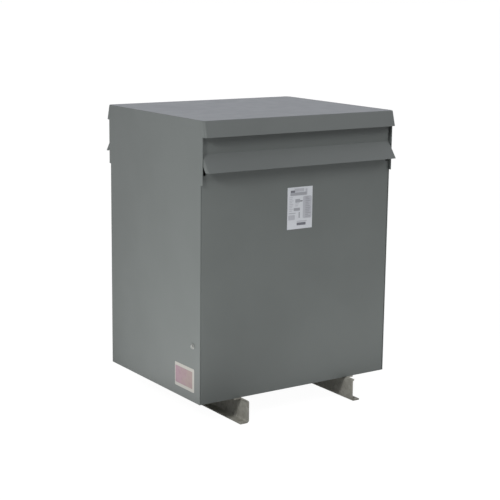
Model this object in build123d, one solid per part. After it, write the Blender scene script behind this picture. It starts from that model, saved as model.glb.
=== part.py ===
from build123d import *
import os

# Ventilated dry-type power transformer on two foot channels.
# X runs to the right, Y to the back and Z up.
# The origin is on the floor, below the middle of the body. Sizes are in millimetres.

# Enclosure
body_width = 634
body_depth = 490
body_height = 764
sheet = 2
fit_gap = 0.3
bend = 3

# Foot channels
foot_height = 65
foot_thickness = 4
foot_bend = 8
foot_flange = 28
foot_overhang = 32
foot_web_inset = 139
anchor_hole_radius = 5.5
anchor_hole_end = 16
anchor_hole_edge = 11

# Roof with its splayed lips
crease_offset = 13
lip_offset = 25
lip_drop = 43
lip_corner = 9
seam_inset = 1

# Side panels
wing_offset = 8
wing_drop = 35

# Louver blades
blade_lap = 16
blade_upright = 61
blade_drop = 46
blade_offset = 34
blade_depth = 12
blade_corner = 5

# Covers
cover_lap = 11
cover_return = 46
cover_top_flange = 9
cover_notch_width = 13
cover_notch_height = 21

# Vent screens
screen_thickness = 1
screen_lap = 12
screen_slot_width = 11
screen_rib_width = 7
screen_rail = 13

# Base pan
pan_flange = 24
pan_slot_width = 13
pan_slot_pitch = 34
pan_slot_margin = 34
pan_rib_width = 26

# Rating plate
plate_width = 84
plate_height = 116
plate_thickness = 0.8
plate_left = 278
plate_drop = 73

# Core
leg_width = 80
window_width = 100
window_height = 300
yoke_height = 80
stack_depth = 120
yoke_lift = 6

# Windings
leg_clearance = 4
inner_build = 12
duct = 10
outer_build = 15
winding_end_gap = 14
winding_corner = 6
duct_stick_width = 14
block_width = 40

# Core clamps
clamp_height = 62
clamp_flange = 40
clamp_thickness = 5
clamp_overhang = 34
stud_radius = 6
stud_clearance = 0.5
stud_inset = 16
nut_radius = 11
nut_height = 8

# Isolation pads and their rails
pad_size = 50
pad_height = 16
rail_height = 30
rail_width = 64
rail_thickness = 4

# Worked out from the sizes above
base_z = foot_height
top_z = base_z + body_height
half_width = body_width / 2
half_depth = body_depth / 2
inner_half_width = half_width - sheet
lip_z = top_z - lip_drop
blade_top_z = lip_z + blade_lap
knee_z = blade_top_z - blade_upright
blade_foot_z = knee_z - blade_drop
cover_top_z = blade_foot_z + cover_lap
wing_z = blade_foot_z - wing_drop
seam_y = half_depth - seam_inset
pan_half_width = inner_half_width - fit_gap
pan_half_depth = half_depth - sheet - fit_gap
pan_top_z = base_z + sheet
rail_x = half_width - foot_web_inset + foot_flange / 2
rail_half_length = pan_half_depth - sheet - fit_gap
rail_top_z = pan_top_z + rail_height
clamp_foot_z = rail_top_z + pad_height
yoke_z = clamp_foot_z + yoke_lift
window_z = yoke_z + yoke_height
upper_yoke_z = window_z + window_height
core_top_z = upper_yoke_z + yoke_height
leg_pitch = leg_width + window_width
core_half_width = leg_pitch + leg_width / 2
clamp_half_length = core_half_width + clamp_overhang
pad_y = stack_depth / 2 + clamp_flange / 2
winding_length = window_height - 2 * winding_end_gap
winding_z = window_z + winding_end_gap


def prism_x(points, x_from, x_to):
    """Closed outline of (y, z) points, extruded along X."""
    outline = Plane.YZ.offset(x_from) * make_face(Polyline(*points, close=True))
    return extrude(outline, x_to - x_from)


def bent_strip(points, thickness, radius, side):
    """Section of a sheet that is bent along a line of corner points."""
    outer_line = FilletPolyline(*points, radius=radius)
    return Face(Wire(outer_line.edges()).offset_2d(thickness, side=side, closed=True))


def block(x, y, z):
    """Plain block from three (low, high) pairs."""
    size = [high - low for low, high in (x, y, z)]
    middle = [(high + low) / 2 for low, high in (x, y, z)]
    return Pos(*middle) * Box(*size)


def to_back(piece):
    """The same piece, turned to the back."""
    return Rot(0, 0, 180) * piece


def mirrored(piece):
    """The same piece on the other side of the YZ plane."""
    return mirror(piece, about=Plane.YZ)


def end_corners(solid, x_end):
    """Edges of a bent sheet's outer faces at its two ends."""
    ends = [e for e in solid.edges() if abs(abs(e.center().X) - x_end) < 0.01]
    return [e for e in ends if abs(e.tangent_at(0.5).Z) > 0.5]


def roof():
    """Roof sheet with a splayed lip, closed at its ends, at the front and the back."""
    crease_y = half_depth + crease_offset
    lip_y = half_depth + lip_offset
    outline = [(-lip_y, lip_z), (-crease_y, top_z), (crease_y, top_z), (lip_y, lip_z)]
    hood = prism_x(outline, -half_width, half_width)
    hood = fillet(end_corners(hood, half_width), lip_corner)
    hood = fillet(hood.faces().sort_by(Axis.Z)[-1].edges(), bend)
    hood = offset(hood, -sheet, openings=hood.faces().sort_by(Axis.Z)[0])
    for side in (-1, 1):
        panel_x = sorted((side * inner_half_width, side * (half_width + sheet)))
        hood -= block(panel_x, (-seam_y, seam_y), (lip_z - sheet, top_z + sheet))
    return hood


def left_side_panel():
    """Side sheet whose upper part stands out past the covers as a wing."""
    wing_y = half_depth + wing_offset
    wing_top = lip_z - fit_gap
    seam = seam_y - fit_gap
    back_edge = [
        (half_depth, base_z),
        (half_depth, wing_z),
        (wing_y, wing_z),
        (wing_y, wing_top),
        (seam, wing_top),
        (seam, top_z),
    ]
    front_edge = [(-y, z) for y, z in reversed(back_edge)]
    return prism_x(back_edge + front_edge, -half_width, -inner_half_width)


def front_cover():
    """Flat cover with returned sides and a returned top edge."""
    x = inner_half_width - fit_gap
    y = -half_depth
    corners = [(-x, y + cover_return), (-x, y), (x, y), (x, y + cover_return)]
    section = Pos(0, 0, base_z) * bent_strip(corners, sheet, bend, Side.LEFT)
    pan = extrude(section, cover_top_z - base_z, dir=(0, 0, 1))
    notch_y = (y + sheet, y + cover_return + 1)
    notch_z = (base_z - 1, base_z + pan_flange + fit_gap)
    pan -= block((-half_width, half_width), notch_y, notch_z)
    notch_z = (cover_top_z - cover_notch_height, cover_top_z + 1)
    flange_x = x - cover_notch_width
    for side in (-1, 1):
        notch_x = sorted((side * flange_x, side * half_width))
        pan -= block(notch_x, (y - 1, y + cover_return + 1), notch_z)
    flange_y = (y + sheet, y + sheet + cover_top_flange)
    return pan + block((-flange_x, flange_x), flange_y, (cover_top_z - sheet, cover_top_z))


def front_louver_blade():
    """Louver blade, upright at the top and splayed out over the cover, with returned ends."""
    y = -half_depth
    foot_y = y - blade_offset
    length = inner_half_width - fit_gap
    slant = (blade_offset**2 + blade_drop**2) ** 0.5
    inner_foot_y = foot_y + blade_depth * slant / blade_drop
    knee_fall = blade_depth * (slant - blade_drop) / blade_offset
    outer_line = [(y, blade_top_z), (y, knee_z), (foot_y, blade_foot_z)]
    inner_line = [
        (inner_foot_y, blade_foot_z),
        (y + blade_depth, knee_z - knee_fall),
        (y + blade_depth, blade_top_z),
    ]
    band = prism_x(outer_line + inner_line, -length, length)
    corners = [e for e in end_corners(band, length) if is_outer(e)]
    band = fillet(corners, blade_corner)
    open_faces = [f for f in band.faces() if abs(f.normal_at().X) < 0.1 and f.normal_at().Y > -0.3]
    return offset(band, -sheet, openings=open_faces)


def is_outer(edge):
    """True for a blade edge on the weather side."""
    middle = edge.center()
    splay = blade_offset / blade_drop * max(0, knee_z - middle.Z)
    return middle.Y < -half_depth - splay + blade_depth / 2


def front_vent_screen():
    """Slotted strip that closes the vent mouths behind the louver blade."""
    half_length = inner_half_width - 2 * fit_gap - sheet
    y = -half_depth + blade_depth + fit_gap
    bottom = cover_top_z - screen_lap
    top = top_z - sheet - fit_gap
    strip = block((-half_length, half_length), (y, y + screen_thickness), (bottom, top))
    pitch = screen_slot_width + screen_rib_width
    count = int((2 * half_length - screen_rib_width) // pitch)
    slot = Box(screen_slot_width, 4 * screen_thickness, top - bottom - 2 * screen_rail)
    row = GridLocations(pitch, 1, count, 1)
    return strip - [Pos(0, y, (bottom + top) / 2) * place * slot for place in row]


def left_foot():
    """Bent foot channel with its web on the inner side and anchor holes in its ends."""
    web_x = -half_width + foot_web_inset
    edge_x = web_x - foot_flange
    half_length = half_depth + foot_overhang
    line = [(edge_x, 0), (web_x, 0), (web_x, foot_height), (edge_x, foot_height)]
    section = bent_strip(line, foot_thickness, foot_bend, Side.LEFT)
    channel = extrude(Plane.XZ * section, half_length, both=True)
    notch_x = (edge_x - 1, web_x - foot_bend)
    for side in (-1, 1):
        notch_y = sorted((side * half_depth, side * (half_length + 1)))
        channel -= block(notch_x, notch_y, (foot_height - foot_bend, foot_height + 1))
        hole = Cylinder(anchor_hole_radius, 3 * foot_thickness)
        channel -= Pos(edge_x + anchor_hole_edge, side * (half_length - anchor_hole_end), 0) * hole
    return channel


def base_pan():
    """Floor pan with upturned edges and rows of air slots."""
    depth = (-pan_half_depth, pan_half_depth)
    pan = block((-pan_half_width, pan_half_width), depth, (base_z, base_z + pan_flange))
    pan = fillet(pan.edges().filter_by(Axis.Z), bend)
    pan = offset(pan, -sheet, openings=pan.faces().sort_by(Axis.Z)[-1])
    inner_edge = rail_x - rail_width / 2
    outer_edge = rail_x + rail_width / 2
    margin = pan_rib_width / 2
    fields = [
        (margin, inner_edge - margin),
        (outer_edge + margin, pan_half_width - pan_slot_margin),
    ]
    rows = int((2 * pan_half_depth - 2 * pan_slot_margin) // pan_slot_pitch) + 1
    slots = []
    for low, high in fields:
        for side in (-1, 1):
            for place in GridLocations(1, pan_slot_pitch, 1, rows):
                slot = Box(high - low, pan_slot_width, 4 * sheet)
                slots.append(Pos(side * (low + high) / 2, place.position.Y, base_z) * slot)
    return pan - slots


def left_rail():
    """Inverted channel rail that carries the isolation pads."""
    low_x = -rail_x - rail_width / 2
    high_x = -rail_x + rail_width / 2
    line = [(low_x, pan_top_z), (low_x, rail_top_z), (high_x, rail_top_z), (high_x, pan_top_z)]
    section = bent_strip(line, rail_thickness, foot_bend, Side.RIGHT)
    return extrude(Plane.XZ * section, rail_half_length, both=True)


def isolation_pad(x_side, y_side):
    """Rubber pad between a rail and a lower clamp."""
    pad = Pos(0, 0, rail_top_z + pad_height / 2) * Box(pad_size, clamp_flange, pad_height)
    pad = chamfer(pad.edges().filter_by(Axis.Z), bend)
    return Pos(x_side * rail_x, y_side * pad_y, 0) * pad


def clamp(is_upper):
    """Front core clamp: an angle with its flange turned away from the windings."""
    y = -stack_depth / 2
    if is_upper:
        heel_z = core_top_z + yoke_lift
        tip_z = heel_z - clamp_height
    else:
        heel_z = clamp_foot_z
        tip_z = heel_z + clamp_height
    line = [(y, tip_z), (y, heel_z), (y - clamp_flange, heel_z)]
    side = Side.LEFT if is_upper else Side.RIGHT
    section = bent_strip(line, clamp_thickness, foot_bend, side)
    angle = extrude(Plane.YZ * section, clamp_half_length, both=True)
    for x_side in (-1, 1):
        hole = Rot(90, 0, 0) * Cylinder(stud_radius + stud_clearance, 4 * clamp_thickness)
        angle -= Pos(x_side * stud_x(), y, (heel_z + tip_z) / 2) * hole
    return angle


def stud_x():
    """Distance of the clamp studs from the middle."""
    return clamp_half_length - stud_inset


def clamp_studs(is_upper):
    """Two studs with nuts that pull a pair of clamps together."""
    if is_upper:
        z = core_top_z + yoke_lift - clamp_height / 2
    else:
        z = clamp_foot_z + clamp_height / 2
    seat_y = stack_depth / 2 + clamp_thickness
    studs = []
    for x_side in (-1, 1):
        stud = Cylinder(stud_radius, 2 * seat_y)
        nut = extrude(RegularPolygon(nut_radius, 6), nut_height)
        stud += Pos(0, 0, seat_y) * nut
        stud += Pos(0, 0, -seat_y - nut_height) * nut
        studs.append(Pos(x_side * stud_x(), 0, z) * Rot(90, 0, 0) * stud)
    return Compound(studs)


def yoke(bottom_z):
    """Horizontal part of the laminated core."""
    y = (-stack_depth / 2, stack_depth / 2)
    return block((-core_half_width, core_half_width), y, (bottom_z, bottom_z + yoke_height))


def leg(x):
    """Upright part of the laminated core."""
    y = (-stack_depth / 2, stack_depth / 2)
    return block((x - leg_width / 2, x + leg_width / 2), y, (window_z, upper_yoke_z))


def winding(x, inner_gap, build):
    """Rounded tube that is wound round a leg, with its bore a gap away from the leg."""
    bore = RectangleRounded(
        leg_width + 2 * inner_gap, stack_depth + 2 * inner_gap, winding_corner + inner_gap
    )
    outside = RectangleRounded(
        leg_width + 2 * (inner_gap + build),
        stack_depth + 2 * (inner_gap + build),
        winding_corner + inner_gap + build,
    )
    return extrude(Pos(x, 0, winding_z) * (outside - bore), winding_length)


def duct_sticks():
    """Sticks that hold the air duct between the inner and the outer windings open."""
    inner_face = leg_clearance + inner_build
    x_mid = leg_width / 2 + inner_face + duct / 2
    y_mid = stack_depth / 2 + inner_face + duct / 2
    sticks = []
    for x in (-leg_pitch, 0, leg_pitch):
        for side in (-1, 1):
            for shift in (-leg_width / 4, leg_width / 4):
                stick = Box(duct_stick_width, duct, winding_length)
                sticks.append(Pos(x + shift, side * y_mid, 0) * stick)
            stick = Box(duct, duct_stick_width, winding_length)
            sticks.append(Pos(x + side * x_mid, 0, 0) * stick)
    return Compound([Pos(0, 0, winding_z + winding_length / 2) * s for s in sticks])


def winding_blocks(bottom_z):
    """Insulating blocks in the core windows that hold the windings off a yoke."""
    half_length = window_width / 2 - leg_clearance
    blocks = []
    for x in (-leg_pitch / 2, leg_pitch / 2):
        for side in (-1, 1):
            y = side * stack_depth / 4
            y_range = (y - block_width / 2, y + block_width / 2)
            x_range = (x - half_length, x + half_length)
            blocks.append(block(x_range, y_range, (bottom_z, bottom_z + winding_end_gap)))
    return Compound(blocks)


def rating_plate():
    """Bare plate on the front cover."""
    left = -half_width + plate_left
    top = cover_top_z - plate_drop
    y = (-half_depth - plate_thickness, -half_depth)
    return block((left, left + plate_width), y, (top - plate_height, top))


def build_all():
    """Every piece by its name."""
    pieces = {
        "roof": roof(),
        "left_side_panel": left_side_panel(),
        "right_side_panel": mirrored(left_side_panel()),
        "front_cover": front_cover(),
        "back_cover": to_back(front_cover()),
        "front_louver_blade": front_louver_blade(),
        "back_louver_blade": to_back(front_louver_blade()),
        "front_vent_screen": front_vent_screen(),
        "back_vent_screen": to_back(front_vent_screen()),
        "rating_plate": rating_plate(),
        "base_pan": base_pan(),
        "left_foot": left_foot(),
        "right_foot": mirrored(left_foot()),
        "left_rail": left_rail(),
        "right_rail": mirrored(left_rail()),
        "lower_yoke": yoke(yoke_z),
        "upper_yoke": yoke(upper_yoke_z),
        "lower_front_clamp": clamp(is_upper=False),
        "lower_back_clamp": to_back(clamp(is_upper=False)),
        "upper_front_clamp": clamp(is_upper=True),
        "upper_back_clamp": to_back(clamp(is_upper=True)),
        "lower_clamp_studs": clamp_studs(is_upper=False),
        "upper_clamp_studs": clamp_studs(is_upper=True),
        "duct_sticks": duct_sticks(),
        "lower_winding_blocks": winding_blocks(window_z),
        "upper_winding_blocks": winding_blocks(winding_z + winding_length),
    }
    outer_gap = leg_clearance + inner_build + duct
    for name, x in (("left", -leg_pitch), ("middle", 0), ("right", leg_pitch)):
        pieces[f"{name}_leg"] = leg(x)
        pieces[f"{name}_inner_winding"] = winding(x, leg_clearance, inner_build)
        pieces[f"{name}_outer_winding"] = winding(x, outer_gap, outer_build)
    for x_name, x_side in (("left", -1), ("right", 1)):
        for y_name, y_side in (("front", -1), ("back", 1)):
            pieces[f"{y_name}_{x_name}_pad"] = isolation_pad(x_side, y_side)
    return pieces


os.makedirs("parts", exist_ok=True)
for piece_name, piece in build_all().items():
    export_step(piece, f"parts/{piece_name}.step")
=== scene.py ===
import logging
import math
import random
from dataclasses import dataclass, field
from enum import Enum
from typing import Any, Iterable, Sequence

import bmesh
import bpy
from mathutils import Matrix, Vector


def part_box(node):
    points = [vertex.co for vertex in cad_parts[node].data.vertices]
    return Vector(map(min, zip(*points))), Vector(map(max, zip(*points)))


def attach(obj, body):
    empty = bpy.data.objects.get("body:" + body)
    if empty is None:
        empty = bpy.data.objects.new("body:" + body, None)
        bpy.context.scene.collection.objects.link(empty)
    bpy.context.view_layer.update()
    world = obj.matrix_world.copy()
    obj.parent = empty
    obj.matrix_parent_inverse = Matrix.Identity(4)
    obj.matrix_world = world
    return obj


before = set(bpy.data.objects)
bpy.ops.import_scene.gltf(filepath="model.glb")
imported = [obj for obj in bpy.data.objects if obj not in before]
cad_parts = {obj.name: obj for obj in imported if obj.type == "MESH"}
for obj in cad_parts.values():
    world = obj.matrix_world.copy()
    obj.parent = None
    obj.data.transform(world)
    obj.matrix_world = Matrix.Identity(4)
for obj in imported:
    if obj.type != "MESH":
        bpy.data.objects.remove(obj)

logging.basicConfig(level=logging.INFO, format="%(message)s")
log = logging.getLogger("transformer")

MM = 0.001
BODY = "root"
# A Wave Texture multiplies its place by this before it takes the sine.
WAVE_NODE_FACTOR = 20

Colour = tuple[float, float, float]
Point = tuple[float, float, float]


def rgba(colour: Colour) -> tuple[float, float, float, float]:
    """A colour with full opacity."""
    return (*colour, 1.0)


def from_display(red: int, green: int, blue: int) -> Colour:
    """Turn a colour as it is seen on a screen into a scene colour.

    Args:
        red: Red from 0 to 255.
        green: Green from 0 to 255.
        blue: Blue from 0 to 255.

    Returns:
        The linear colour.
    """

    def linear(value: int) -> float:
        """One channel."""
        share = value / 255
        return share / 12.92 if share <= 0.04045 else ((share + 0.055) / 1.055) ** 2.4

    return (linear(red), linear(green), linear(blue))


def shade(colour: Colour, share: float) -> Colour:
    """A colour made darker or lighter by a share of itself, never over full."""
    return tuple(min(1.0, channel * share) for channel in colour)


class Facing(Enum):
    """The side of the housing that a flat piece lies on."""

    FRONT = "front"
    LEFT = "left"
    RIGHT = "right"

    @property
    def matrix(self) -> Matrix:
        """Turn for a piece drawn in X (to the viewer's right) and Y (up), facing +Z.

        Returns:
            The turn that lays it on this side.
        """
        upright = Matrix.Rotation(math.pi / 2, 4, "X")
        turn = {Facing.FRONT: 0.0, Facing.LEFT: -math.pi / 2, Facing.RIGHT: math.pi / 2}[self]
        return Matrix.Rotation(turn, 4, "Z") @ upright


@dataclass(frozen=True)
class Signal:
    """A shader socket that takes part in plain arithmetic."""

    graph: "ShaderGraph"
    socket: bpy.types.NodeSocket

    def _math(self, operation: str, first: Any, second: Any) -> "Signal":
        """One Math node on two values."""
        return self.graph.node("ShaderNodeMath", {"operation": operation}, {0: first, 1: second})

    def __add__(self, other: Any) -> "Signal":
        """Sum."""
        return self._math("ADD", self, other)

    __radd__ = __add__

    def __sub__(self, other: Any) -> "Signal":
        """Difference."""
        return self._math("SUBTRACT", self, other)

    def __rsub__(self, other: Any) -> "Signal":
        """Difference, with this signal taken away."""
        return self._math("SUBTRACT", other, self)

    def __mul__(self, other: Any) -> "Signal":
        """Product."""
        return self._math("MULTIPLY", self, other)

    __rmul__ = __mul__

    def __truediv__(self, other: Any) -> "Signal":
        """Quotient."""
        return self._math("DIVIDE", self, other)

    def maximum(self, other: Any) -> "Signal":
        """The larger of two signals."""
        return self._math("MAXIMUM", self, other)


class ShaderGraph:
    """The node tree of one material, world or light."""

    def __init__(self, tree: bpy.types.NodeTree) -> None:
        """Start from an empty tree.

        Args:
            tree: The node tree to fill.
        """
        self.tree = tree
        tree.nodes.clear()

    def node(
        self,
        kind: str,
        settings: dict[str, Any] | None = None,
        inputs: dict[int | str, Any] | None = None,
        output: int | str = 0,
    ) -> Signal:
        """Add a node.

        Args:
            kind: The node's type.
            settings: Properties that are set first.
            inputs: A value or a Signal for each socket that is set.
            output: The socket that the Signal stands for.

        Returns:
            The chosen output.
        """
        made = self.tree.nodes.new(kind)
        for name, value in (settings or {}).items():
            setattr(made, name, value)
        for key, value in (inputs or {}).items():
            if isinstance(value, Signal):
                self.tree.links.new(value.socket, made.inputs[key])
            else:
                made.inputs[key].default_value = value
        outputs = made.outputs
        return Signal(self, outputs[output]) if len(outputs) else Signal(self, made.inputs[0])

    def place(self) -> Signal:
        """The point on the object, in metres."""
        return self.node("ShaderNodeTexCoord", output="Object")

    def axis(self, name: str) -> Signal:
        """One coordinate of the point on the object."""
        return self.node("ShaderNodeSeparateXYZ", inputs={0: self.place()}, output=name)

    def stretched(self, scale: Point) -> Signal:
        """The point on the object, scaled along each axis."""
        settings = {"operation": "MULTIPLY"}
        return self.node("ShaderNodeVectorMath", settings, {0: self.place(), 1: scale})

    def noise(self, size: float, detail: float = 2.0, stretch: Point = (1.0, 1.0, 1.0)) -> Signal:
        """Soft noise whose lumps are about a given size.

        Args:
            size: Size of a lump in metres.
            detail: How many finer layers it has.
            stretch: Scale along each axis; a low value draws the noise out.

        Returns:
            A value from 0 to 1.
        """
        inputs = {"Vector": self.stretched(stretch), "Scale": 1 / size, "Detail": detail}
        return self.node("ShaderNodeTexNoise", inputs=inputs)

    def cells(self, size: float, output: str = "Color") -> Signal:
        """Voronoi cells of about a given size in metres."""
        inputs = {"Vector": self.place(), "Scale": 1 / size}
        return self.node("ShaderNodeTexVoronoi", inputs=inputs, output=output)

    def bands(self, pitch: float, direction: str, profile: str, waver: tuple[float, float]) -> Signal:
        """Even bands across the object.

        Args:
            pitch: Distance from band to band, in metres.
            direction: The axis that they follow each other along.
            profile: Shape of the wave, such as SIN or SAW.
            waver: How much they stray, and how many finer layers that has.

        Returns:
            A value from 0 to 1.
        """
        settings = {"wave_type": "BANDS", "bands_direction": direction, "wave_profile": profile}
        stray, detail = waver
        scale = 2 * math.pi / pitch / WAVE_NODE_FACTOR
        inputs = {"Vector": self.place(), "Scale": scale, "Distortion": stray, "Detail": detail}
        return self.node("ShaderNodeTexWave", settings, inputs, output="Fac")

    def remap(self, value: Signal, low: float, high: float, to_low: float, to_high: float) -> Signal:
        """Map one range smoothly to another, held at its ends."""
        inputs = {0: value, 1: low, 2: high, 3: to_low, 4: to_high}
        return self.node("ShaderNodeMapRange", {"interpolation_type": "SMOOTHSTEP"}, inputs)

    def blend(self, factor: Any, first: Any, second: Any) -> Signal:
        """Mix two colours.

        Args:
            factor: 0 for the first colour and 1 for the second.
            first: A colour or a Signal.
            second: A colour or a Signal.

        Returns:
            The mixed colour.
        """
        first, second = (rgba(c) if isinstance(c, tuple) else c for c in (first, second))
        settings = {"data_type": "RGBA"}
        return self.node("ShaderNodeMix", settings, {0: factor, 6: first, 7: second}, output=2)

    def bump(self, height: Signal, depth: float, below: Signal | None = None) -> Signal:
        """A normal that follows a height.

        Args:
            height: A value from 0 to 1.
            depth: The height of 1, in metres.
            below: A normal that is already bent, where this bump lies over another.

        Returns:
            The bent normal.
        """
        inputs = {"Height": height, "Distance": depth, "Strength": 1.0}
        if below is not None:
            inputs["Normal"] = below
        return self.node("ShaderNodeBump", inputs=inputs)

    def surface(self, shader: Signal) -> None:
        """Send a shader to the output."""
        is_world = isinstance(self.tree.id_data, bpy.types.World)
        kind = "ShaderNodeOutputWorld" if is_world else "ShaderNodeOutputMaterial"
        self.node(kind, inputs={"Surface": shader})


@dataclass(frozen=True)
class Finish:
    """A finish with a name; each kind fills its own graph."""

    name: str

    def material(self) -> bpy.types.Material:
        """Make the material of this finish, or find it where it is already made.

        Returns:
            The material.
        """
        found = bpy.data.materials.get(self.name)
        if found is None:
            found = bpy.data.materials.new(self.name)
            found.use_nodes = True
            graph = ShaderGraph(found.node_tree)
            graph.surface(self.shader(graph))
        return found

    def shader(self, graph: ShaderGraph) -> Signal:
        """Build the shader.

        Args:
            graph: The material's graph.

        Returns:
            The shader's output.
        """
        raise NotImplementedError


@dataclass(frozen=True)
class PowderCoat(Finish):
    """Sprayed and baked grey paint with a fine orange peel."""

    colour: Colour = from_display(113, 118, 116)
    tone_spread: float = 0.05
    cloud_size: float = 220 * MM
    dust_size: float = 35 * MM
    dust_share: float = 0.3
    roughness: float = 0.46
    gloss_spread: float = 0.12
    sheen: float = 0.35
    peel_size: float = 2.2 * MM
    peel_depth: float = 0.035 * MM
    sheet_wave: float = 160 * MM
    sheet_depth: float = 0.5 * MM

    def shader(self, graph: ShaderGraph) -> Signal:
        """Grey paint, a little uneven in tone and gloss, over a sheet that isn't quite flat.

        Args:
            graph: The material's graph.

        Returns:
            The shader's output.
        """
        cloud = graph.remap(graph.noise(self.cloud_size, 3.0), 0.3, 0.7, 0.0, 1.0)
        dust = graph.noise(self.dust_size, 4.0)
        tone = cloud * (1 - self.dust_share) + dust * self.dust_share
        darker = shade(self.colour, 1 - self.tone_spread)
        lighter = shade(self.colour, 1 + self.tone_spread)
        peel = graph.bump(graph.noise(self.peel_size, 1.0), self.peel_depth)
        return graph.node(
            "ShaderNodeBsdfPrincipled",
            inputs={
                "Base Color": graph.blend(tone, darker, lighter),
                "Roughness": self.roughness + (dust - 0.5) * self.gloss_spread,
                "Specular IOR Level": self.sheen,
                "Normal": graph.bump(graph.noise(self.sheet_wave, 0.0), self.sheet_depth, peel),
            },
        )


@dataclass(frozen=True)
class Galvanised(Finish):
    """Zinc-dipped steel with a spangle, gone dull."""

    light: Colour = from_display(192, 191, 182)
    dark: Colour = from_display(168, 166, 156)
    spangle: float = 9 * MM
    stain_size: float = 50 * MM
    stain_share: float = 0.35
    stain_shade: float = 0.75
    metallic: float = 0.05
    roughness: float = 0.45
    sheen: float = 0.1
    grain: float = 1.5 * MM
    depth: float = 0.04 * MM

    def shader(self, graph: ShaderGraph) -> Signal:
        """Zinc crystals of different greys, with stains.

        Args:
            graph: The material's graph.

        Returns:
            The shader's output.
        """
        crystal = graph.node("ShaderNodeSeparateColor", inputs={0: graph.cells(self.spangle)})
        stain = graph.remap(graph.noise(self.stain_size, 4.0), 0.5, 0.75, 0.0, self.stain_share)
        base = graph.blend(crystal, self.dark, self.light)
        return graph.node(
            "ShaderNodeBsdfPrincipled",
            inputs={
                "Base Color": graph.blend(stain, base, shade(self.dark, self.stain_shade)),
                "Metallic": self.metallic,
                "Roughness": self.roughness + crystal * 0.12 + stain * 0.2,
                "Specular IOR Level": self.sheen,
                "Normal": graph.bump(graph.noise(self.grain, 2.0), self.depth),
            },
        )


@dataclass(frozen=True)
class PlainSurface(Finish):
    """An even surface with a fine grain and slightly uneven tone."""

    colour: Colour = (0.5, 0.5, 0.5)
    metallic: float = 0.0
    roughness: float = 0.5
    grain: float = 1.0 * MM
    depth: float = 0.02 * MM
    tone_spread: float = 0.08
    patch: float = 30 * MM
    gloss_spread: float = 0.15

    def shader(self, graph: ShaderGraph) -> Signal:
        """Two close tones and a light grain.

        Args:
            graph: The material's graph.

        Returns:
            The shader's output.
        """
        tone = graph.noise(self.patch, 3.0)
        darker = shade(self.colour, 1 - self.tone_spread)
        lighter = shade(self.colour, 1 + self.tone_spread)
        return graph.node(
            "ShaderNodeBsdfPrincipled",
            inputs={
                "Base Color": graph.blend(tone, darker, lighter),
                "Metallic": self.metallic,
                "Roughness": self.roughness + (tone - 0.5) * self.gloss_spread,
                "Normal": graph.bump(graph.noise(self.grain, 2.0), self.depth),
            },
        )


@dataclass(frozen=True)
class Laminations(Finish):
    """The edges of stacked core sheets under varnish."""

    colour: Colour = from_display(84, 82, 80)
    gap_shade: float = 0.6
    pitch: float = 1.4 * MM
    depth: float = 0.1 * MM
    streak_size: float = 20 * MM
    streak_stretch: Point = (0.1, 8.0, 0.1)
    metallic: float = 0.3
    roughness: float = 0.5

    def shader(self, graph: ShaderGraph) -> Signal:
        """Fine upright lines across the stack, some of them lighter.

        Args:
            graph: The material's graph.

        Returns:
            The shader's output.
        """
        line = graph.bands(self.pitch, "Y", "SIN", (0.4, 2.0))
        streak = graph.noise(self.streak_size, 3.0, self.streak_stretch)
        tone = line * 0.5 + streak * 0.5
        return graph.node(
            "ShaderNodeBsdfPrincipled",
            inputs={
                "Base Color": graph.blend(tone, shade(self.colour, self.gap_shade), self.colour),
                "Metallic": self.metallic,
                "Roughness": self.roughness + line * 0.2,
                "Normal": graph.bump(line, self.depth),
            },
        )


@dataclass(frozen=True)
class WindingWrap(Finish):
    """Varnished paper tape over a winding."""

    colour: Colour = from_display(188, 160, 112)
    varnish_shade: float = 0.35
    blotch_size: float = 30 * MM
    tape: float = 22 * MM
    lap_step: float = 0.5 * MM
    roughness: float = 0.35

    def shader(self, graph: ShaderGraph) -> Signal:
        """Level bands of lapped tape with darker varnish in the laps.

        Args:
            graph: The material's graph.

        Returns:
            The shader's output.
        """
        lap = graph.bands(self.tape, "Z", "SAW", (0.6, 1.0))
        varnish = graph.remap(lap, 0.0, 0.2, 0.7, 0.0) + graph.noise(self.blotch_size, 4.0) * 0.4
        return graph.node(
            "ShaderNodeBsdfPrincipled",
            inputs={
                "Base Color": graph.blend(varnish, self.colour, shade(self.colour, self.varnish_shade)),
                "Roughness": self.roughness + varnish * 0.2,
                "Normal": graph.bump(lap, self.lap_step),
            },
        )


@dataclass(frozen=True)
class FadedFilm(Finish):
    """Printed film that the light has bleached, more at its front end than at its rear end."""

    rear: float = 0.0
    front: float = 1.0
    kept: Colour = from_display(160, 132, 142)
    bleached: Colour = from_display(156, 138, 134)
    blotch_size: float = 20 * MM
    wear_size: float = 12 * MM
    wear_shade: float = 0.8
    roughness: float = 0.5
    grain: float = 0.8 * MM
    depth: float = 0.01 * MM

    def shader(self, graph: ShaderGraph) -> Signal:
        """A pink that turns brown towards the front, in soft blotches.

        Args:
            graph: The material's graph.

        Returns:
            The shader's output.
        """
        along = (graph.axis("Y") - self.rear) / (self.front - self.rear)
        blotch = graph.noise(self.blotch_size, 3.0) - 0.5
        fade = graph.remap(along + blotch * 0.8, 0.1, 0.8, 0.0, 1.0)
        worn = graph.remap(graph.noise(self.wear_size, 2.0), 0.45, 0.7, 0.0, 0.3)
        base = graph.blend(fade, self.kept, self.bleached)
        return graph.node(
            "ShaderNodeBsdfPrincipled",
            inputs={
                "Base Color": graph.blend(worn, base, shade(self.kept, self.wear_shade)),
                "Roughness": self.roughness + worn * 0.2,
                "Normal": graph.bump(graph.noise(self.grain, 2.0), self.depth),
            },
        )


def film(name: str, colour: Colour, tone_spread: float, **changes: float) -> PlainSurface:
    """A smooth printed or satin surface with a very fine grain."""
    fine = {"grain": 0.6 * MM, "depth": 0.01 * MM}
    return PlainSurface(name, colour, tone_spread=tone_spread, **fine, **changes)


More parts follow.
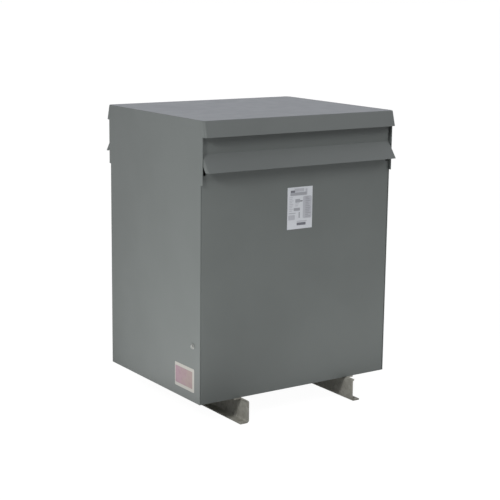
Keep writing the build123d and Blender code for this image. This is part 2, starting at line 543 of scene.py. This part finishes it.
class Finishes:
    """The finishes of this transformer."""

    housing = PowderCoat("grey_powder_coat")
    feet = Galvanised("dull_dipped_zinc")
    screens = PlainSurface("dull_screen", from_display(120, 122, 120), metallic=0.6, roughness=0.45)
    plate = film("satin_aluminium", from_display(217, 220, 225), 0.05, metallic=0.15, roughness=0.42)
    print_pale = PlainSurface("pale_print", from_display(194, 196, 203), roughness=0.6)
    print_grey = PlainSurface("grey_print", from_display(171, 173, 180), roughness=0.6)
    print_dark = PlainSurface("dark_print", from_display(114, 116, 124))
    core = Laminations("varnished_laminations")
    clamps = PlainSurface("dark_primer", from_display(62, 64, 64), roughness=0.6)
    studs = PlainSurface("bright_zinc", from_display(176, 174, 166), metallic=0.9, roughness=0.35)
    board = PlainSurface("varnished_board", from_display(196, 178, 120), roughness=0.4)
    windings = WindingWrap("varnished_tape")
    pads = PlainSurface("black_rubber", from_display(38, 38, 38), roughness=0.75)
    label_stock = film("cream_film", from_display(186, 184, 177), 0.04)
    screws = PlainSurface("dull_zinc_plate", from_display(160, 162, 158), metallic=0.2)


def dress(nodes: Iterable[str], finish: Finish) -> None:
    """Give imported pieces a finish.

    Args:
        nodes: Names of the pieces.
        finish: What they are finished in.
    """
    material = finish.material()
    for name in nodes:
        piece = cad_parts[name]
        if not piece.data.materials:
            piece.data.materials.append(material)
        for index in range(len(piece.data.materials)):
            piece.material_slots[index].material = material
        log.info("dressed %s in %s", name, finish.name)


def add_piece(name: str, mesh: bmesh.types.BMesh, finish: Finish) -> bpy.types.Object:
    """Turn a mesh into a piece that rides on the transformer.

    Args:
        name: Name of the piece.
        mesh: Its shape, in metres, where it belongs.
        finish: What it is finished in.

    Returns:
        The piece.
    """
    data = bpy.data.meshes.new(name)
    bmesh.ops.recalc_face_normals(mesh, faces=mesh.faces[:])
    mesh.to_mesh(data)
    mesh.free()
    data.materials.append(finish.material())
    piece = bpy.data.objects.new(name, data)
    bpy.context.scene.collection.objects.link(piece)
    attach(piece, BODY)
    log.info("made %s: %d faces", name, len(data.polygons))
    return piece


def rounded_rectangle(width: float, height: float, radius: float, steps: int = 4) -> list[Vector]:
    """Outline of a rectangle with round corners, about its middle.

    Args:
        width: Its size in X.
        height: Its size in Y.
        radius: Radius of its corners.
        steps: Number of straight edges in a corner.

    Returns:
        The points of the outline, in order.
    """
    points = []
    for turn, (sx, sy) in enumerate(((1, 1), (-1, 1), (-1, -1), (1, -1))):
        centre = Vector((sx * (width / 2 - radius), sy * (height / 2 - radius), 0))
        for step in range(steps + 1):
            angle = (turn + step / steps) * math.pi / 2
            points.append(centre + radius * Vector((math.cos(angle), math.sin(angle), 0)))
    return points


def add_rings(mesh: bmesh.types.BMesh, rings: Sequence[Sequence[Vector]]) -> None:
    """Add a closed shape that runs through rings of points.

    Args:
        mesh: The mesh that it goes into.
        rings: The rings from its underside to its face, each with as many points.
    """
    loops = [[mesh.verts.new(point) for point in ring] for ring in rings]
    for lower, upper in zip(loops, loops[1:]):
        for i, (first, second) in enumerate(zip(lower, upper)):
            j = (i + 1) % len(lower)
            mesh.faces.new((first, lower[j], upper[j], second))
    mesh.faces.new(loops[-1])
    mesh.faces.new(list(reversed(loops[0])))


def add_sheet(
    mesh: bmesh.types.BMesh,
    outline: Sequence[Vector],
    levels: tuple[float, float],
    place: Matrix,
) -> None:
    """Add a flat closed sheet.

    Args:
        mesh: The mesh that it goes into.
        outline: Its outline in X and Y.
        levels: Heights of its underside and its face.
        place: Where it goes.
    """
    add_rings(mesh, [[place @ Vector((p.x, p.y, z)) for p in outline] for z in levels])


@dataclass
class Housing:
    """The painted sheet-metal housing and the pieces that close its vents."""

    painted: tuple[str, ...] = (
        "roof",
        "left_side_panel",
        "right_side_panel",
        "front_cover",
        "back_cover",
        "front_louver_blade",
        "back_louver_blade",
        "base_pan",
    )
    screens: tuple[str, ...] = ("front_vent_screen", "back_vent_screen")

    def dress(self) -> None:
        """Give the housing its paint and the screens their zinc."""
        dress(self.painted, Finishes.housing)
        dress(self.screens, Finishes.screens)


@dataclass
class Supports:
    """Foot channels, rails and pads."""

    channels: tuple[str, ...] = ("left_foot", "right_foot", "left_rail", "right_rail")
    pads: tuple[str, ...] = ("front_left_pad", "front_right_pad", "back_left_pad", "back_right_pad")

    def dress(self) -> None:
        """Zinc on the channels and rubber on the pads."""
        dress(self.channels, Finishes.feet)
        dress(self.pads, Finishes.pads)


@dataclass
class CoreAndWindings:
    """The laminated core, its clamps and the windings."""

    phases: tuple[str, ...] = ("left", "middle", "right")

    def dress(self) -> None:
        """Finish every inner piece."""
        dress(["lower_yoke", "upper_yoke", *(f"{p}_leg" for p in self.phases)], Finishes.core)
        layers = [f"{p}_{layer}_winding" for p in self.phases for layer in ("inner", "outer")]
        dress(layers, Finishes.windings)
        clamps = [f"{level}_{side}_clamp" for level in ("lower", "upper") for side in ("front", "back")]
        dress(clamps, Finishes.clamps)
        dress(["lower_clamp_studs", "upper_clamp_studs"], Finishes.studs)
        dress(["duct_sticks", "lower_winding_blocks", "upper_winding_blocks"], Finishes.board)


class PrintTone(Enum):
    """How dark a printed area of the rating plate is."""

    PALE = "pale"
    GREY = "grey"
    DARK = "dark"

    @property
    def finish(self) -> Finish:
        """The ink of this tone."""
        return {
            PrintTone.PALE: Finishes.print_pale,
            PrintTone.GREY: Finishes.print_grey,
            PrintTone.DARK: Finishes.print_dark,
        }[self]


@dataclass(frozen=True)
class PrintArea:
    """A printed rectangle, in shares of the plate from its upper left corner."""

    tone: PrintTone
    across: tuple[float, float]
    down: tuple[float, float]
    rows: int = 0


@dataclass
class RatingPlate:
    """The rating plate with plain grey areas and bars on it, and no writing."""

    film: float = 0.05 * MM
    corner_share: float = 0.1
    shortest_bar: float = 0.5
    bar_share: float = 0.45
    seed: int = 7
    areas: tuple[PrintArea, ...] = (
        PrintArea(PrintTone.GREY, (0.11, 0.76), (0.125, 0.2)),
        PrintArea(PrintTone.PALE, (0.27, 0.66), (0.035, 0.11)),
        PrintArea(PrintTone.DARK, (0.12, 0.29), (0.075, 0.125)),
        PrintArea(PrintTone.PALE, (0.71, 0.79), (0.05, 0.2)),
        PrintArea(PrintTone.PALE, (0.62, 0.97), (0.225, 0.76)),
        PrintArea(PrintTone.GREY, (0.31, 0.5), (0.285, 0.37)),
        PrintArea(PrintTone.DARK, (0.5, 0.6), (0.325, 0.35)),
        PrintArea(PrintTone.GREY, (0.25, 0.5), (0.495, 0.565)),
        PrintArea(PrintTone.GREY, (0.05, 0.33), (0.61, 0.625)),
        PrintArea(PrintTone.PALE, (0.04, 0.3), (0.66, 0.775)),
        PrintArea(PrintTone.GREY, (0.45, 0.5), (0.6, 0.74)),
        PrintArea(PrintTone.PALE, (0.38, 0.78), (0.805, 0.835)),
        PrintArea(PrintTone.DARK, (0.38, 0.74), (0.85, 0.915)),
    )
    columns: tuple[PrintArea, ...] = (
        PrintArea(PrintTone.PALE, (0.07, 0.28), (0.23, 0.59), 9),
        PrintArea(PrintTone.PALE, (0.31, 0.5), (0.39, 0.48), 2),
        PrintArea(PrintTone.GREY, (0.72, 0.94), (0.25, 0.75), 12),
    )

    def place(self) -> tuple[Matrix, float, float]:
        """Find the plate.

        Returns:
            Where its face is, its width and its height.
        """
        low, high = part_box("rating_plate")
        middle = Vector(((low.x + high.x) / 2, low.y, (low.z + high.z) / 2))
        return Matrix.Translation(middle) @ Facing.FRONT.matrix, high.x - low.x, high.z - low.z

    def bars(self, column: PrintArea, draw: random.Random) -> list[PrintArea]:
        """Split a column into level bars of uneven length.

        Args:
            column: The column and its number of rows.
            draw: Where the lengths are drawn from.

        Returns:
            One area for each bar.
        """
        left, right = column.across
        top, bottom = column.down
        pitch = (bottom - top) / column.rows
        bars = []
        for row in range(column.rows):
            end = left + (right - left) * draw.uniform(self.shortest_bar, 1.0)
            level = top + row * pitch
            bars.append(PrintArea(column.tone, (left, end), (level, level + pitch * self.bar_share)))
        return bars

    def print_areas(self, tone: PrintTone, areas: Iterable[PrintArea], layer: int) -> None:
        """Print every area of one tone as a thin film.

        Args:
            tone: The tone.
            areas: The areas, of which the others are passed over.
            layer: How many films this tone lies above the plate.
        """
        place, width, height = self.place()
        mesh = bmesh.new()
        for area in areas:
            if area.tone is not tone:
                continue
            size = ((area.across[1] - area.across[0]) * width, (area.down[1] - area.down[0]) * height)
            middle = ((sum(area.across) / 2 - 0.5) * width, (0.5 - sum(area.down) / 2) * height, 0)
            outline = rounded_rectangle(*size, min(size) * self.corner_share, 1)
            add_sheet(mesh, outline, (0.0, self.film * layer), place @ Matrix.Translation(middle))
        add_piece(f"rating_plate_{tone.value}_print", mesh, tone.finish)

    def dress(self) -> None:
        """Finish the plate and print its areas."""
        dress(["rating_plate"], Finishes.plate)
        draw = random.Random(self.seed)
        areas = [*self.areas, *(bar for column in self.columns for bar in self.bars(column, draw))]
        for layer, tone in enumerate(PrintTone, start=1):
            self.print_areas(tone, areas, layer)


@dataclass
class SideLabel:
    """The faded label low on the left side, with nothing printed in its field."""

    from_front: float = 28.5 * MM
    above_bottom: float = 26 * MM
    width: float = 100 * MM
    height: float = 66 * MM
    border: float = 9 * MM
    rear_border: float = 3 * MM
    thickness: float = 0.15 * MM
    ink: float = 0.075 * MM
    corner: float = 3 * MM
    field_corner: float = 1 * MM

    def build(self) -> None:
        """Make the label's stock and its field."""
        low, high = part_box("left_side_panel")
        cover_low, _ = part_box("front_cover")
        centre_y = cover_low.y + self.from_front + self.width / 2
        centre_z = low.z + self.above_bottom + self.height / 2
        place = Matrix.Translation((low.x, centre_y, centre_z)) @ Facing.LEFT.matrix
        stock = bmesh.new()
        outline = rounded_rectangle(self.width, self.height, self.corner)
        add_sheet(stock, outline, (0.0, self.thickness), place)
        add_piece("side_label", stock, Finishes.label_stock)
        field_width = self.width - self.border - self.rear_border
        shift = Matrix.Translation(((self.rear_border - self.border) / 2, 0, 0))
        field_outline = rounded_rectangle(field_width, self.height - 2 * self.border, self.field_corner)
        face = bmesh.new()
        add_sheet(face, field_outline, (self.thickness, self.thickness + self.ink), place @ shift)
        pink = FadedFilm("faded_pink_film", centre_y + self.width / 2, centre_y - self.width / 2)
        add_piece("side_label_field", face, pink)


@dataclass
class CoverScrews:
    """Hex washer-head screws low on the sides that hold the front cover."""

    from_face: float = 36 * MM
    above_bottom: float = 155 * MM
    across_flats: float = 9.5 * MM
    head: float = 4.5 * MM
    washer_radius: float = 7.5 * MM
    washer: float = 1.2 * MM
    ring_steps: int = 36

    def build(self) -> None:
        """Make one screw on each side."""
        panel_low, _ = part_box("left_side_panel")
        _, right_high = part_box("right_side_panel")
        cover_low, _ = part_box("front_cover")
        mesh = bmesh.new()
        for facing, x in ((Facing.LEFT, panel_low.x), (Facing.RIGHT, right_high.x)):
            spot = (x, cover_low.y + self.from_face, panel_low.z + self.above_bottom)
            self.screw(mesh, Matrix.Translation(spot) @ facing.matrix)
        add_piece("cover_screws", mesh, Finishes.screws)

    def screw(self, mesh: bmesh.types.BMesh, place: Matrix) -> None:
        """Add one screw head: a round washer, a hexagon with a chamfered top and a dished face.

        Args:
            mesh: The mesh that it goes into.
            place: The panel's face below it.
        """
        corner = self.across_flats / math.sqrt(3)
        washer = [
            (self.washer_radius, 0.0),
            (self.washer_radius, self.washer * 0.7),
            (self.washer_radius * 0.94, self.washer),
        ]
        hexagon = [(corner * 1.02, self.washer * 1.15), (corner, self.head * 0.86)]
        dished = [(corner * 0.86, self.head), (corner * 0.55, self.head), (corner * 0.45, self.head * 0.85)]
        profile = [(*ring, False) for ring in washer]
        profile += [(*ring, True) for ring in hexagon]
        profile += [(*ring, False) for ring in dished]
        add_rings(mesh, [self.ring(place, *ring) for ring in profile])

    def ring(self, place: Matrix, radius: float, height: float, hexagonal: bool) -> list[Vector]:
        """One ring of points round the screw.

        Args:
            place: The panel's face below it.
            radius: Radius, or half the width across a hexagon's corners.
            height: Height over the panel.
            hexagonal: Whether the ring is a hexagon.

        Returns:
            The points.
        """
        points = []
        for step in range(self.ring_steps):
            angle = 2 * math.pi * step / self.ring_steps
            reach = radius
            if hexagonal:
                from_flat = (angle % (math.pi / 3)) - math.pi / 6
                reach = radius * math.cos(math.pi / 6) / math.cos(from_flat)
            points.append(place @ Vector((reach * math.cos(angle), reach * math.sin(angle), height)))
        return points


@dataclass
class PhotoCamera:
    """The camera at the photograph's place."""

    azimuth: float = 34.2316
    pitch: float = 11.5286
    roll: float = 0.7169
    focal_pixels: float = 1313.81
    picture: int = 500
    from_left_side: float = -1.78709
    from_front_cover: float = -2.85721
    above_body: float = 1.11382
    sensor: float = 36.0
    farthest: float = 100.0

    def build(self) -> None:
        """Make the camera and look through it."""
        turn, down, roll = (math.radians(a) for a in (self.azimuth, self.pitch, self.roll))
        forward = Vector((math.sin(turn) * math.cos(down), math.cos(turn) * math.cos(down), -math.sin(down)))
        level = Vector((math.cos(turn), -math.sin(turn), 0))
        upward = level.cross(forward)
        right = math.cos(roll) * level + math.sin(roll) * upward
        top = math.cos(roll) * upward - math.sin(roll) * level
        panel_low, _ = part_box("left_side_panel")
        cover_low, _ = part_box("front_cover")
        data = bpy.data.cameras.new("photo_camera")
        data.sensor_width = self.sensor
        data.lens = self.focal_pixels / self.picture * self.sensor
        data.clip_end = self.farthest
        camera = bpy.data.objects.new("photo_camera", data)
        bpy.context.scene.collection.objects.link(camera)
        turn_matrix = Matrix((right, top, -forward)).transposed().to_4x4()
        corner = Vector((panel_low.x, cover_low.y, panel_low.z))
        spot = corner + Vector((self.from_left_side, self.from_front_cover, self.above_body))
        camera.matrix_world = Matrix.Translation(spot) @ turn_matrix
        bpy.context.scene.camera = camera


@dataclass
class Softbox:
    """One large lamp."""

    name: str
    place: Point
    target: Point
    size: tuple[float, float]
    power: float
    spread: float = 180.0

    def build(self) -> None:
        """Make the lamp and turn it to its target."""
        data = bpy.data.lights.new(self.name, "AREA")
        data.shape = "RECTANGLE"
        data.size, data.size_y = self.size
        data.energy = self.power
        data.spread = math.radians(self.spread)
        lamp = bpy.data.objects.new(self.name, data)
        lamp.visible_camera = False
        bpy.context.scene.collection.objects.link(lamp)
        way = Vector(self.target) - Vector(self.place)
        turn = way.to_track_quat("-Z", "Y").to_matrix().to_4x4()
        lamp.matrix_world = Matrix.Translation(self.place) @ turn


@dataclass
class Studio:
    """Floor, lamps and white surroundings."""

    white: Colour = (1.0, 1.0, 1.0)
    floor_size: float = 120.0
    floor_colour: Colour = (0.12, 0.12, 0.12)
    floor_bounce: Colour = (0.2, 0.2, 0.2)
    floor_glow: float = 0.97
    sky_strength: float = 0.7
    horizon_share: float = 0.0
    horizon_band: tuple[float, float] = (0.25, 0.55)
    zenith_share: float = 0.3
    zenith_band: tuple[float, float] = (0.55, 0.95)
    sky_sheen: Colour = (1.01, 1.01, 1.12)
    lamps: list[Softbox] = field(
        default_factory=lambda: [
            Softbox("left_softbox", (-2.3, -1.1, 1.85), (0, -0.2, 0.3), (0.45, 0.4), 22.4),
            Softbox("right_softbox", (1.6, -1.9, 2.1), (0.15, -0.25, 0.35), (1.2, 0.8), 12.4),
            Softbox("left_bounce", (-0.78, -0.35, 0.004), (-0.78, -0.35, 1.0), (0.8, 1.2), 6.9, 150),
            Softbox("front_bounce", (0.7, -0.55, 0.004), (0.7, -0.55, 1.0), (1.7, 0.48), 3.0, 150),
        ]
    )

    def build(self) -> None:
        """Make the studio."""
        self.floor()
        self.sky()
        for lamp in self.lamps:
            lamp.build()

    @staticmethod
    def shown(graph: ShaderGraph) -> Signal:
        """Tell rays that come from the camera, straight or through glass, from others.

        Args:
            graph: The graph of the floor's material or of the world.

        Returns:
            1 for such rays and 0 for others.
        """
        straight = graph.node("ShaderNodeLightPath", output="Is Camera Ray")
        through_glass = graph.node("ShaderNodeLightPath", output="Is Transmission Ray")
        return straight.maximum(through_glass)

    def floor(self) -> None:
        """A pale floor that glows to the camera, so that it looks white and keeps a soft shadow."""
        data = bpy.data.meshes.new("floor")
        mesh = bmesh.new()
        bmesh.ops.create_grid(mesh, x_segments=1, y_segments=1, size=self.floor_size / 2)
        mesh.to_mesh(data)
        mesh.free()
        material = bpy.data.materials.new("floor")
        material.use_nodes = True
        material.cycles.emission_sampling = "NONE"
        graph = ShaderGraph(material.node_tree)
        bounce = graph.node("ShaderNodeBsdfDiffuse", inputs={"Color": rgba(self.floor_bounce)})
        paint = graph.node("ShaderNodeBsdfDiffuse", inputs={"Color": rgba(self.floor_colour)})
        glow = {"Color": rgba(self.white), "Strength": self.floor_glow}
        white = graph.node("ShaderNodeEmission", inputs=glow)
        lit = graph.node("ShaderNodeAddShader", inputs={0: paint, 1: white})
        shown = self.shown(graph).maximum(graph.node("ShaderNodeLightPath", output="Is Glossy Ray"))
        graph.surface(graph.node("ShaderNodeMixShader", inputs={0: shown, 1: bounce, 2: lit}))
        data.materials.append(material)
        floor = bpy.data.objects.new("floor", data)
        bpy.context.scene.collection.objects.link(floor)

    def sky(self) -> None:
        """White to the camera, a little cool in reflections, and softer as a light."""
        world = bpy.data.worlds.new("studio")
        bpy.context.scene.world = world
        world.use_nodes = True
        world.cycles.sampling_method = "NONE"
        graph = ShaderGraph(world.node_tree)
        mirrored = graph.node("ShaderNodeLightPath", output="Is Glossy Ray")
        way = graph.node("ShaderNodeTexCoord", output="Generated")
        rise = graph.node("ShaderNodeSeparateXYZ", inputs={0: way}, output="Z")
        above = graph.remap(rise, *self.horizon_band, self.horizon_share, 1.0)
        dimmed = graph.remap(rise, *self.zenith_band, 1.0, self.zenith_share)
        soft = self.sky_strength * above * dimmed
        bright = self.shown(graph).maximum(mirrored)
        strength = soft * (1.0 - bright) + bright
        tint = graph.blend(mirrored, self.white, self.sky_sheen)
        graph.surface(graph.node("ShaderNodeBackground", inputs={"Color": tint, "Strength": strength}))


def main() -> None:
    """Build the looks of the transformer and its studio."""
    bpy.context.scene.view_settings.view_transform = "Standard"
    PhotoCamera().build()
    Studio().build()
    for assembly in (Housing(), Supports(), CoreAndWindings(), RatingPlate()):
        assembly.dress()
    SideLabel().build()
    CoverScrews().build()


if __name__ == "__main__":
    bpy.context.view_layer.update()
    main()
